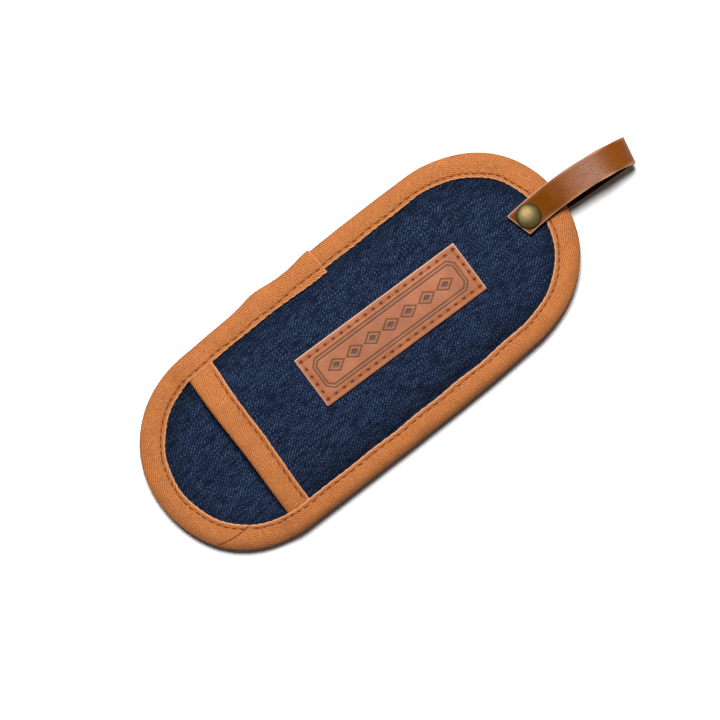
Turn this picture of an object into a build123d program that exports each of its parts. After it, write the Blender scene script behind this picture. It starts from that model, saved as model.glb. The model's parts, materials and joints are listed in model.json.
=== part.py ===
from build123d import *

import os
from math import atan2, cos, degrees, pi, radians, sin

# A padded pan-handle mitt: two quilted walls cut to one stadium outline, bound all round with
# folded bias tape. The front wall stops short of the left end, where its own bound edge is the
# mouth of the pocket. A leather patch is sewn to the front, and a leather strap, folded over the
# right end and held by one double-cap rivet, is the hanging loop. It swivels on the rivet.
#
# Frame, in millimetres: +X along the mitt towards the loop, +Y across it, +Z up out of the front.
# The origin is the middle of the flat back face, which is also the middle of the bound outline.

# Outline, measured over the binding.
PAD_LENGTH = 207.0
PAD_WIDTH = 89.0

# Cloth, wadding and leather.
TAPE = 0.7  # two thicknesses of folded bias tape
DENIM = 0.8
POCKET_LINING = 0.5  # plain cotton inside the front wall
WADDING_BACK_LOFT, WADDING_BACK_SQUEEZED = 2.0, 1.1
WADDING_FRONT_LOFT, WADDING_FRONT_SQUEEZED = 1.9, 0.7
PATCH_LEATHER = 1.4
STRAP_LEATHER = 1.6
THREAD_WIDTH, THREAD_HEIGHT = 0.5, 0.25

# How the walls sit: the seam is held up by the strap and rivet under it, the middle lies flat.
SEAM_HEIGHT = 4.1  # underside of the back denim at the bound edge
POCKET_GAP = 5.2  # free height inside the pocket, over its flat middle
LOFT_RUN = 16.0  # how far in from the seam the walls take to reach full height

# Binding.
TAPE_COVER = 10.6  # how far the edge tape covers the front and the back
TAPE_ROUNDING = 1.8
LAP_START, LAP_END = -8.0, 10.0  # the first tape's folded end lies over the second tape here
LAP_RISE = 3.0  # how far before that the first tape starts to step up
LAP_EXTRA_COVER = 1.2
BIAS_SEAM_OUTER, BIAS_SEAM_INNER = (-96.2, -24.5), (-81.8, -28.0)

# Pocket mouth.
MOUTH_X = -64.0
MOUTH_SKEW = -2.1  # degrees that the mouth leans towards the loop on the +Y side
MOUTH_TAPE_COVER = 11.7
MOUTH_ROW_END = 5.0  # from the seam to the nearest stitch of the mouth's row

# Patch.
PATCH_LENGTH, PATCH_WIDTH = 81.0, 23.4
PATCH_CENTRE, PATCH_TURN = (16.5, 0.4), -2.6
PATCH_BORDER_INSET, PATCH_BORDER_LINE, PATCH_BORDER_DEPTH = 5.2, 0.5, 0.3

# Stitching.
STITCH_PITCH, STITCH_LENGTH = 4.0, 3.0
STITCH_INSET = 1.9  # from the inner edge of a tape, or from the patch's edge

# Strap and rivet.
RIVET_X, RIVET_Y = 88.5, -0.9
RIVET_FLAT = 9.5  # how far the walls stay pinched flat on the pocket's side of the rivet
RIVET_CAP_RADIUS, RIVET_CAP_HEIGHT = 5.3, 2.0
RIVET_BASE_RADIUS, RIVET_BASE_THICKNESS = 4.8, 0.8
RIVET_TUBE_RADIUS, RIVET_POST_RADIUS = 2.0, 1.38
RUNNING_CLEARANCE = 0.05
HOLE_CLEARANCE = 0.1
STRAP_WIDTH = 11.4
STRAP_BEND_RADIUS = 175.0  # the strap's gentle sideways curve, seen from above
STRAP_START_SLOPE = 2.5  # degrees from +X at the rivet
STRAP_FOLD_SLOPE = -9.4  # degrees from +X, square to the fold at the far end
STRAP_REACH = 47.7  # from the rivet to the inside of the fold
STRAP_TAIL_CUT = ((81.75, 3.9), (83.6, -7.3))  # the two corners of the strap's square-cut end
STRAP_LIFT = 0.8  # free height between the strap and the tape that it crosses

BIG = 150.0  # longer than anything that it cuts

half_width = PAD_WIDTH / 2
end_centre = PAD_LENGTH / 2 - half_width
cloth_radius = half_width - TAPE
seam_radius = half_width - TAPE_COVER
flat_radius = seam_radius - LOFT_RUN
# The walls reach full height inside a shorter stadium, which leaves the rivet in flat cloth.
loft_right = RIVET_X - RIVET_FLAT - seam_radius
loft_left = -end_centre

# Each surface is (height at the seam, height over the flat middle).
back_face = (SEAM_HEIGHT, 0.0)
back_wadding_under = (SEAM_HEIGHT + DENIM, DENIM)
back_lining_under = (
    back_wadding_under[0] + WADDING_BACK_SQUEEZED,
    back_wadding_under[1] + WADDING_BACK_LOFT,
)
back_lining_top = (back_lining_under[0] + DENIM, back_lining_under[1] + DENIM)
front_lining_under = (back_lining_top[0], back_lining_top[1] + POCKET_GAP)
front_wadding_under = (front_lining_under[0] + POCKET_LINING, front_lining_under[1] + POCKET_LINING)
front_denim_under = (
    front_wadding_under[0] + WADDING_FRONT_SQUEEZED,
    front_wadding_under[1] + WADDING_FRONT_LOFT,
)
front_face = (front_denim_under[0] + DENIM, front_denim_under[1] + DENIM)

tape_under = SEAM_HEIGHT - TAPE
tape_top = front_face[0] + TAPE
tape_top_at_tip = back_lining_top[0] + TAPE
strap_underside = tape_top + STRAP_LIFT
strap_back_top = tape_under - STRAP_LIFT

os.makedirs("parts", exist_ok=True)


def save(shape, name, colour):
    shape.label = name
    shape.color = Color(colour)
    export_step(shape, f"parts/{name}.step")


# ---------------------------------------------------------------- the two quilted walls


def stadium(radius, left=-end_centre, right=end_centre):
    """Flat shape of two half circles about (left, 0) and (right, 0), joined by straight sides."""
    return Pos((left + right) / 2, 0) * SlotCenterToCenter(right - left, 2 * radius)


def loft_curve(surface):
    """Half of a wall surface's cross-section, in the YZ plane: level, an S, and out to the seam."""
    at_seam, at_middle = surface
    halfway = flat_radius + LOFT_RUN / 2
    flat = Line((0, 0, at_middle), (0, flat_radius, at_middle))
    rise = Bezier(
        (0, flat_radius, at_middle),
        (0, halfway, at_middle),
        (0, halfway, at_seam),
        (0, seam_radius, at_seam),
    )
    return [flat, rise]


def loft_height(surface, radius):
    """Height of a surface at that distance from the loft stadium's middle line."""
    at_seam, at_middle = surface
    if radius <= flat_radius:
        return at_middle
    if radius >= seam_radius:
        return at_seam
    low, high = 0.0, 1.0
    share = (radius - flat_radius) / LOFT_RUN
    for _ in range(40):
        t = (low + high) / 2
        if 1.5 * t - 1.5 * t**2 + t**3 < share:
            low = t
        else:
            high = t
    return at_middle + (at_seam - at_middle) * (3 * t**2 - 2 * t**3)


def raised(lower, upper):
    """The part of a layer inside the loft stadium, between two surfaces."""
    axis = Line((0, 0, lower[1]), (0, 0, upper[1]))
    seam = Line((0, seam_radius, lower[0]), (0, seam_radius, upper[0]))
    half = make_face([*loft_curve(lower), *loft_curve(upper), axis, seam])
    other_half = mirror(half, about=Plane.XZ)
    run = loft_right - loft_left
    middle = Pos(loft_left, 0) * (
        extrude(half, amount=run, dir=(1, 0, 0)) + extrude(other_half, amount=run, dir=(1, 0, 0))
    )
    left = Pos(loft_left, 0) * revolve(half, axis=Axis.Z, revolution_arc=180)
    right = Pos(loft_right, 0) * revolve(other_half, axis=Axis.Z, revolution_arc=180)
    return (middle + left + right).clean()


def layer(lower, upper):
    """One whole layer of cloth or wadding between two surfaces, out to the cloth's cut edge."""
    rim = stadium(cloth_radius) - stadium(seam_radius, loft_left, loft_right)
    rim = Pos(0, 0, lower[0]) * extrude(rim, amount=upper[0] - lower[0])
    return (raised(lower, upper) + rim).clean()


def beyond_mouth(offset):
    """Everything on the loop's side of a line that lies that far inside the mouth's edge."""
    block = Box(BIG * 2, BIG * 2, BIG, align=(Align.MIN, Align.CENTER, Align.CENTER))
    return Pos(MOUTH_X, 0) * Rot(0, 0, MOUTH_SKEW) * Pos(offset, 0) * block


rivet_hole = Pos(RIVET_X, RIVET_Y) * Cylinder(RIVET_TUBE_RADIUS + HOLE_CLEARANCE, BIG)
front_wall_side = beyond_mouth(TAPE)

back_shell = layer(back_face, back_wadding_under) - rivet_hole
back_wadding = layer(back_wadding_under, back_lining_under) - rivet_hole
back_lining = layer(back_lining_under, back_lining_top) - rivet_hole
front_lining = (layer(front_lining_under, front_wadding_under) & front_wall_side) - rivet_hole
front_wadding = (layer(front_wadding_under, front_denim_under) & front_wall_side) - rivet_hole
front_shell = (layer(front_denim_under, front_face) & front_wall_side) - rivet_hole

save(back_shell, "back_shell", "midnightblue")
save(back_wadding, "back_wadding", "ivory")
save(back_lining, "back_lining", "midnightblue")
save(front_lining, "front_lining", "midnightblue")
save(front_shell, "front_shell", "midnightblue")


# ---------------------------------------------------------------- the bound mouth of the pocket


def raised_by(surface, height):
    return (surface[0] + height, surface[1] + height)


wrap = raised(raised_by(front_lining_under, -TAPE), raised_by(front_face, TAPE))
wrap = wrap & (beyond_mouth(0) - beyond_mouth(MOUTH_TAPE_COVER))
mouth_binding = wrap - front_lining - front_wadding - front_shell - back_lining


# ---------------------------------------------------------------- the edge tape, in two lengths


def band(outer, inner, under, top):
    """A ring of tape round the whole outline, rounded where it folds over the edge."""
    ring = Pos(0, 0, under) * extrude(stadium(outer), amount=top - under)
    ring = fillet(ring.faces().sort_by(Axis.Z)[-1].edges(), TAPE_ROUNDING)
    ring = fillet(ring.faces().sort_by(Axis.Z)[0].edges(), TAPE_ROUNDING)
    return ring - Pos(0, 0, under - 1) * extrude(stadium(inner), amount=top - under + 2)


def lapped(start, end):
    """A block over the stretch of the +Y side between two places along X."""
    return Pos((start + end) / 2, PAD_WIDTH / 2) * Box(end - start, PAD_WIDTH, BIG)


over_pocket = band(half_width, seam_radius, tape_under, tape_top) & beyond_mouth(0)
over_tip = band(half_width, seam_radius, tape_under, tape_top_at_tip) - beyond_mouth(0)
whole_band = over_pocket + over_tip
for cloth in (back_shell, back_wadding, back_lining, front_lining, front_wadding, front_shell):
    whole_band = whole_band - cloth

seam_run = (BIAS_SEAM_INNER[0] - BIAS_SEAM_OUTER[0], BIAS_SEAM_INNER[1] - BIAS_SEAM_OUTER[1])
seam_far_outside = (BIAS_SEAM_OUTER[0] - seam_run[0], BIAS_SEAM_OUTER[1] - seam_run[1])
first_tape_plan = Polyline(
    (LAP_START, 0),
    (LAP_START, BIG),
    (-BIG, BIG),
    (-BIG, seam_far_outside[1]),
    seam_far_outside,
    (BIAS_SEAM_INNER[0] + seam_run[0], BIAS_SEAM_INNER[1] + seam_run[1]),
    close=True,
)
first_tape_space = Pos(0, 0, -BIG / 2) * extrude(make_face(first_tape_plan), amount=BIG)

lap = band(half_width + TAPE, seam_radius - LAP_EXTRA_COVER, tape_under - TAPE, tape_top + TAPE)
lap = lap & lapped(LAP_START - LAP_RISE, LAP_END)
lap = lap - band(half_width, seam_radius, tape_under, tape_top)
lap = lap - raised(back_face, front_face)
for cloth in (back_shell, back_wadding, back_lining, front_lining, front_wadding, front_shell):
    lap = lap - cloth
first_tape = (whole_band & first_tape_space) + lap
second_tape = whole_band - first_tape_space

save(first_tape, "edge_tape_first", "peru")
save(second_tape, "edge_tape_second", "sandybrown")


# ---------------------------------------------------------------- the patch


def on_patch(shape):
    return Pos(*PATCH_CENTRE, front_face[1]) * Rot(0, 0, PATCH_TURN) * shape


def groove(inset):
    """A plain rectangular line pressed into the patch, that far inside its edge."""
    length, width = PATCH_LENGTH - 2 * inset, PATCH_WIDTH - 2 * inset
    outline = Rectangle(length, width)
    outline = outline - Rectangle(length - 2 * PATCH_BORDER_LINE, width - 2 * PATCH_BORDER_LINE)
    return Pos(0, 0, PATCH_LEATHER - PATCH_BORDER_DEPTH) * extrude(outline, amount=1)


blank = extrude(Rectangle(PATCH_LENGTH, PATCH_WIDTH), amount=PATCH_LEATHER)
patch = on_patch(blank - groove(PATCH_BORDER_INSET) - groove(PATCH_BORDER_INSET + 1.2))
save(patch, "leather_patch", "sienna")


# ---------------------------------------------------------------- stitching


def stitch(length=STITCH_LENGTH):
    """One stitch, lying along X on the cloth's surface."""
    return Box(length, THREAD_WIDTH, THREAD_HEIGHT, align=(Align.CENTER, Align.CENTER, Align.MIN))


def edge_stitches(radius, height_at, underneath=False):
    """Evenly spaced stitches round a stadium: along one side, round an end, and back."""
    straight, bend = 2 * end_centre, pi * radius
    count = round(2 * (straight + bend) / STITCH_PITCH)
    made = []
    for i in range(count):
        s = i * 2 * (straight + bend) / count
        side = 1 if s < straight + bend else -1
        s -= 0 if side == 1 else straight + bend
        if s < straight:
            x, y, turn = s - end_centre, radius, 0.0
        else:
            turn = (s - straight) / radius
            x, y = end_centre + radius * sin(turn), radius * cos(turn)
        x, y = side * x, side * y
        reach = side * STITCH_LENGTH / 2
        ends = [height_at(x + way * reach * cos(turn), y) for way in (-1, 1)]
        if ends[0] != ends[1]:
            continue  # the tape steps up here, so the needle skips
        flip = Rot(180, 0, 0) if underneath else Rot(0, 0, 0)
        made.append(Pos(x, y, ends[0]) * Rot(0, 0, -degrees(turn)) * flip * stitch())
    return made


def tape_surface(x, y):
    if y > 0 and LAP_START - LAP_RISE < x < LAP_END:
        return tape_top + TAPE
    return tape_top if x > MOUTH_X - y * sin(radians(MOUTH_SKEW)) else tape_top_at_tip


def tape_underside(x, y):
    return tape_under - TAPE if y > 0 and LAP_START - LAP_RISE < x < LAP_END else tape_under


def mouth_stitches(surface, underneath=False):
    """A row of stitches across the mouth tape, following the wall's rise and fall."""
    across = 2 * (seam_radius - MOUTH_ROW_END)
    count = round(across / STITCH_PITCH)
    made = []
    for i in range(count):
        y = (i + 0.5 - count / 2) * across / count
        height = loft_height(surface, abs(y))
        ahead = loft_height(surface, abs(y + 0.5))
        lean = degrees(atan2(ahead - height, 0.5))
        place = Pos(MOUTH_X, 0) * Rot(0, 0, MOUTH_SKEW) * Pos(MOUTH_TAPE_COVER - STITCH_INSET, y, height)
        flip = Rot(180, 0, 0) if underneath else Rot(0, 0, 0)
        made.append(place * Rot(0, 0, 90) * Rot(0, -lean, 0) * flip * stitch())
    return made


def patch_stitches(height, underneath=False):
    """Stitches round the patch: a row along each edge, with none across the corners."""
    made = []
    flip = Rot(180, 0, 0) if underneath else Rot(0, 0, 0)
    for long_side, length, reach in (
        (True, PATCH_LENGTH, PATCH_WIDTH / 2 - STITCH_INSET),
        (False, PATCH_WIDTH, PATCH_LENGTH / 2 - STITCH_INSET),
    ):
        run = length - 2 * STITCH_INSET
        count = round(run / STITCH_PITCH)
        for side in (-1, 1):
            for i in range(count):
                along = (i + 0.5 - count / 2) * run / count
                spot = (along, side * reach) if long_side else (side * reach, along)
                turned = Rot(0, 0, 0 if long_side else 90)
                made.append(on_patch(Pos(*spot, height) * turned * flip * stitch()))
    return made


stitch_radius = seam_radius + STITCH_INSET
save(Compound(edge_stitches(stitch_radius, tape_surface)), "edge_needle_thread", "chocolate")
save(Compound(edge_stitches(stitch_radius, tape_underside, True)), "edge_bobbin_thread", "chocolate")
save(Compound(patch_stitches(PATCH_LEATHER)), "patch_needle_thread", "chocolate")

# These two rows bed into what they are pulled against: the mouth's tape and the wadding.
mouth_needle_thread = Compound(mouth_stitches(raised_by(front_face, TAPE)))
mouth_bobbin_thread = Compound(mouth_stitches(raised_by(front_lining_under, -TAPE), True))
patch_bobbin_thread = Compound(patch_stitches(-DENIM, True))
mouth_binding = mouth_binding - mouth_needle_thread - mouth_bobbin_thread
front_wadding = front_wadding - patch_bobbin_thread
save(mouth_needle_thread, "mouth_needle_thread", "chocolate")
save(mouth_bobbin_thread, "mouth_bobbin_thread", "chocolate")
save(patch_bobbin_thread, "patch_bobbin_thread", "chocolate")
save(mouth_binding, "mouth_binding", "peru")
save(front_wadding, "front_wadding", "ivory")


# ---------------------------------------------------------------- the hanging loop and its rivet

# The strap's inside face seen from the side: out along the front, up in a low arch, down round
# the fold and back under the tape. X is measured from the rivet along the fold's direction.
tail = 12.0
inside_face = FilletPolyline(
    (-tail, strap_underside),
    (15.0, strap_underside),
    (31.0, strap_underside + 4.2),
    (STRAP_REACH, strap_underside + 0.4),
    (STRAP_REACH, 2.1),
    (15.0, strap_back_top),
    (-tail, strap_back_top),
    radius=[34.0, 22.0, 3.6, 3.6, 60.0],
)
band_outline = offset(inside_face, amount=STRAP_LEATHER, side=Side.LEFT, closed=True)
side_view = Plane.XZ * make_face(band_outline)
folded = extrude(side_view, amount=25, both=True)
folded = Pos(RIVET_X, RIVET_Y) * Rot(0, 0, STRAP_FOLD_SLOPE) * folded

start = radians(STRAP_START_SLOPE)
bend_centre = (RIVET_X + STRAP_BEND_RADIUS * sin(start), RIVET_Y - STRAP_BEND_RADIUS * cos(start))
plan = Circle(STRAP_BEND_RADIUS + STRAP_WIDTH / 2) - Circle(STRAP_BEND_RADIUS - STRAP_WIDTH / 2)
plan = Pos(*bend_centre) * plan
(tail_x, tail_y), (tail_x2, tail_y2) = STRAP_TAIL_CUT
tail_turn = degrees(atan2(tail_x2 - tail_x, tail_y - tail_y2))
keep = Box(BIG, BIG, BIG, align=(Align.MIN, Align.CENTER, Align.CENTER))
keep = Pos((tail_x + tail_x2) / 2, (tail_y + tail_y2) / 2) * Rot(0, 0, tail_turn) * keep
strap = folded & (Pos(0, 0, -BIG / 2) * extrude(plan, amount=BIG)) & keep
pivot_bore = Cylinder(RIVET_TUBE_RADIUS + RUNNING_CLEARANCE, BIG)
strap = strap - Pos(RIVET_X, RIVET_Y) * pivot_bore
save(strap, "hanging_strap", "saddlebrown")

cap_under = strap_underside + STRAP_LEATHER + HOLE_CLEARANCE
base_top = strap_back_top - STRAP_LEATHER - HOLE_CLEARANCE
dome_radius = (RIVET_CAP_RADIUS**2 + RIVET_CAP_HEIGHT**2) / (2 * RIVET_CAP_HEIGHT)
dome = Pos(0, 0, cap_under + RIVET_CAP_HEIGHT - dome_radius) * Sphere(dome_radius)
dome = dome & Pos(0, 0, cap_under) * Cylinder(
    RIVET_CAP_RADIUS, RIVET_CAP_HEIGHT, align=(Align.CENTER, Align.CENTER, Align.MIN)
)
tube_length = cap_under - base_top
tube = Pos(0, 0, base_top) * Cylinder(
    RIVET_TUBE_RADIUS, tube_length, align=(Align.CENTER, Align.CENTER, Align.MIN)
)
post = Pos(0, 0, base_top) * Cylinder(
    RIVET_POST_RADIUS, tube_length, align=(Align.CENTER, Align.CENTER, Align.MIN)
)
socket = Pos(0, 0, base_top) * Cylinder(
    RIVET_POST_RADIUS + 0.02, tube_length + 0.3, align=(Align.CENTER, Align.CENTER, Align.MIN)
)
base = Pos(0, 0, base_top - RIVET_BASE_THICKNESS) * Cylinder(
    RIVET_BASE_RADIUS, RIVET_BASE_THICKNESS, align=(Align.CENTER, Align.CENTER, Align.MIN)
)
base = chamfer(base.faces().sort_by(Axis.Z)[0].edges(), 0.3)
save(Pos(RIVET_X, RIVET_Y) * (dome + tube - socket), "rivet_cap", "goldenrod")
save(Pos(RIVET_X, RIVET_Y) * (base + post), "rivet_base", "darkgoldenrod")
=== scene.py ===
import json
from math import cos, pi, radians, sin, tan

import bpy
import numpy as np
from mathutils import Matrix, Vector


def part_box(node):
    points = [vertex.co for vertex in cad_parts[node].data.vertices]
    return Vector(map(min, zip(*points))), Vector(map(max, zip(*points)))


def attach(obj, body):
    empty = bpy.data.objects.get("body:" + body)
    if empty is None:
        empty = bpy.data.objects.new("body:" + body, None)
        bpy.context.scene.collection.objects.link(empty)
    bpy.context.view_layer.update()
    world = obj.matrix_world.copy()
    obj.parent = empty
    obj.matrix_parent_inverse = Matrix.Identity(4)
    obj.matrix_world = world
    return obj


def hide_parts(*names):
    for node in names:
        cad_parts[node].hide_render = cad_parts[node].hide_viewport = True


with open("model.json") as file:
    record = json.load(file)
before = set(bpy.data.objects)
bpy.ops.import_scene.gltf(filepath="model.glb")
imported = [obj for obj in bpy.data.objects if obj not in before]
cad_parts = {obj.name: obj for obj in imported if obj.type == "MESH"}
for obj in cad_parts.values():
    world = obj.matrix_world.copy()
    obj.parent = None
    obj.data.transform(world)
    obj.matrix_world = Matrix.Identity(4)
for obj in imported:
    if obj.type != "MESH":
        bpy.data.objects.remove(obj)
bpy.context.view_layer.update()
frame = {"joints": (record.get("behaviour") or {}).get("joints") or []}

# ---------------------------------------------------------------- the back wall
# The back wall is two thicknesses of indigo denim with needled wadding quilted between them.
# The outer denim lies on the table; the inner one is the far side of the pocket, and shows past
# the pocket's mouth. Both are cut to one stadium, and pinched thin where the edge is sewn.

mm = 0.001
DENIM = 0.8 * mm
MOUTH_LEAN = radians(2.1)
RIVET_FLAT = 9.5 * mm  # the walls stay pinched flat this near the rivet

fold_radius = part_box("edge_tape_second")[1].y
end_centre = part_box("edge_tape_second")[1].x - fold_radius
cut_radius = fold_radius - 2.4 * mm  # the raw edges end a little inside the tape's fold
seam_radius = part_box("mouth_binding")[1].y
rivet = frame["joints"][0]["pos_m"]
loft_end = rivet[0] - RIVET_FLAT - seam_radius


def from_middle_line(x, y, right=end_centre):
    """Distance from the line between the two end centres."""
    past = x - np.clip(x, -end_centre, right)
    return np.hypot(past, y)


def wall_height(x, y, at_seam, at_middle, flat):
    """Height of a quilted surface: level over the middle, easing to the height of the seam."""
    inward = np.clip((seam_radius - from_middle_line(x, y, loft_end)) / (seam_radius - flat), 0, 1)
    return at_seam + (at_middle - at_seam) * (1 - (1 - inward) ** 2.2)


# How far the sewn outline runs outside (or inside) a true stadium: (mm round, mm out). The way
# round starts at the left end of the +Y side and goes clockwise, seen from above.
FULLNESS = [
    (0, -0.1), (20, 0.4), (50, 0.3), (76, 0.5), (92, 0.2), (108, -0.3), (120, -0.9), (136, -1.0), (148, 0.0),
    (162, 0.8), (192, 1.1), (208, 1.1), (222, 0.4), (234, -0.6), (248, -1.5), (262, -0.9), (278, -0.1),
    (300, 0.0), (326, -0.3), (346, -0.8), (364, -1.2), (378, -1.7), (390, -1.1), (402, 0.0), (417, 1.0),
    (434, 0.8), (444, 0.8), (458, 1.1), (472, 1.0), (488, 0.5), (504, -0.1),
]
straight, half_turn = 2 * end_centre, pi * fold_radius
whole_way = 2 * (straight + half_turn)


def fullness(s):
    """How far out of a true stadium the outline is, that far round it, smoothed over 10 mm."""
    table = np.array(FULLNESS + [(whole_way / mm, FULLNESS[0][1])]) * mm
    near = [np.interp((s + step) % whole_way, *table.T) for step in np.array([-5, 0, 5]) * mm]
    return sum(near) / 3


def round_to(x, y):
    """How far round the outline a point lies."""
    turn = np.arctan2(np.maximum(abs(x) - end_centre, 0), np.maximum(abs(y), 1e-6)) * fold_radius
    level = np.clip(x, -end_centre, end_centre) + end_centre
    top = np.where(x > end_centre, straight + turn, np.where(x < -end_centre, -turn, level))
    low = straight - level + straight + half_turn
    low = np.where(x > end_centre, straight + half_turn - turn, low)
    low = np.where(x < -end_centre, whole_way - half_turn + turn, low)
    return np.where(y >= 0, top, low) % whole_way


def shaped(x, y):
    """The point moved outwards or inwards, most at the rim, to give the sewn outline."""
    reach = from_middle_line(x, y)
    share = np.clip(reach / fold_radius, 0, 1) ** 3 * fullness(round_to(x, y)) / np.maximum(reach, mm)
    return x + share * (x - np.clip(x, -end_centre, end_centre)), y + share * y


def smooth_step(low, high, value):
    """Goes from 0 to 1 as the value goes from low to high, with soft ends."""
    share = np.clip((value - low) / (high - low), 0, 1)
    return share * share * (3 - 2 * share)


def bump(value, middle, half):
    """1 at the middle, fading to nearly 0 at twice the half-width from it."""
    return np.exp(-(((value - middle) / half) ** 2))


def wander(s, wave, size, seed):
    """A smooth random line along s, as hand-fed sewing leaves: waves about that long, seeded."""
    rng = np.random.default_rng(seed)
    total = 0 * s
    for _ in range(5):
        total = total + np.sin(2 * pi * s / (wave * rng.uniform(0.6, 1.9)) + rng.uniform(0, 2 * pi))
    return total * size / 2.2


def hem_cover(s):
    """How far in from the outline the edge tape's front hem reaches: more on the round ends."""
    past = np.minimum((s - straight) % (straight + half_turn), half_turn) / half_turn
    on_end = smooth_step(0, 0.25, past) * (1 - smooth_step(0.75, 1, past))
    return (9.9 + 0.75 * on_end) * mm + wander(s, 30 * mm, 0.12 * mm, 11)


def cloth_grid(rows, columns, left=None):
    """Points over the cut cloth, in rows along X whose ends follow the round ends."""
    turn = np.linspace(-pi / 2, pi / 2, rows)[:, None]
    share = np.linspace(0, 1, columns)[None, :]
    y = cut_radius * np.sin(turn) + 0 * share
    right_end = end_centre + cut_radius * np.cos(turn)
    left_end = -right_end if left is None else left(y[:, :1])
    return left_end + share * (right_end - left_end), y


def add_piece(name, points, faces, body="pad"):
    """A new piece made of those points and faces, shaded smooth, that rides on the body."""
    mesh = bpy.data.meshes.new(name)
    mesh.from_pydata(np.asarray(points).tolist(), [], faces)
    mesh.validate()
    mesh.shade_smooth()
    piece = bpy.data.objects.new(name, mesh)
    bpy.context.scene.collection.objects.link(piece)
    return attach(piece, body)


def note(piece, name, values):
    """Keeps one number for each point of the piece, for its material to read."""
    attribute = piece.data.attributes.new(name, "FLOAT", "POINT")
    attribute.data.foreach_set("value", np.asarray(values, np.float32).ravel())


def grid_faces(rows, columns, first=0, flip=False):
    """Faces of a grid of points numbered row by row."""
    faces = []
    for i in range(rows - 1):
        for j in range(columns - 1):
            a = first + i * columns + j
            face = (a, a + 1, a + columns + 1, a + columns)
            faces.append(face[::-1] if flip else face)
    return faces


def closed_cloth(x, y, under, top):
    """Points and faces of a thickness of cloth between two surfaces over one grid."""
    rows, columns = x.shape
    x, y = shaped(x, y)
    count = rows * columns
    points = [np.stack([x, y, z], -1).reshape(-1, 3) for z in (top, under)]
    faces = grid_faces(rows, columns) + grid_faces(rows, columns, count, True)
    rim = list(range(columns))
    rim += [i * columns + columns - 1 for i in range(1, rows)]
    rim += [(rows - 1) * columns + j for j in range(columns - 2, -1, -1)]
    rim += [i * columns for i in range(rows - 2, 0, -1)]
    for a, b in zip(rim, rim[1:] + rim[:1]):
        faces.append((a, a + count, b + count, b))
    return np.concatenate(points), faces


def linear(code, alpha=1.0):
    """A linear colour from an sRGB hex value such as '#C67C4A'."""
    parts = [int(code[i : i + 2], 16) / 255 for i in (1, 3, 5)]
    return [c / 12.92 if c <= 0.04045 else ((c + 0.055) / 1.055) ** 2.4 for c in parts] + [alpha]


def add(tree, kind, settings=None, inputs=None):
    """Adds a shader node. Its inputs are set to a value, or linked from another node's output."""
    made = tree.nodes.new(kind)
    for name, value in (settings or {}).items():
        setattr(made, name, value)
    for name, value in (inputs or {}).items():
        if isinstance(value, bpy.types.NodeSocket):
            tree.links.new(value, made.inputs[name])
        else:
            made.inputs[name].default_value = value
    return made


def maths(tree, operation, *values):
    """The output of one Math node."""
    inputs = dict(enumerate(values))
    return add(tree, "ShaderNodeMath", {"operation": operation}, inputs).outputs[0]


def start_material(name):
    """A new material, its node tree, and the shader node that the rest of it feeds."""
    made = bpy.data.materials.new(name)
    made.use_nodes = True
    return made, made.node_tree, made.node_tree.nodes["Principled BSDF"]


def colour_between(tree, share, low, high):
    """A colour from low to high as share goes from 0 to 1."""
    settings = {"data_type": "RGBA"}
    return add(tree, "ShaderNodeMix", settings, {"Factor": share, "A": low, "B": high})


# Denim, a 3/1 right-hand twill: each indigo warp thread lies over three white weft threads and
# dips under the fourth, one thread further along than its neighbour, so pale flecks line up in
# raised wales. Matt, darkest where the dye is full, with slubs that make some threads paler.
# Thread to thread, warp and weft: set a little closer than in heavy mitt denim.
WARP, WEFT = 0.34 * mm, 0.44 * mm
INDIGO, INDIGO_WORN, WEFT_WHITE = "#020610", "#0D1A34", "#4F6074"


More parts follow.
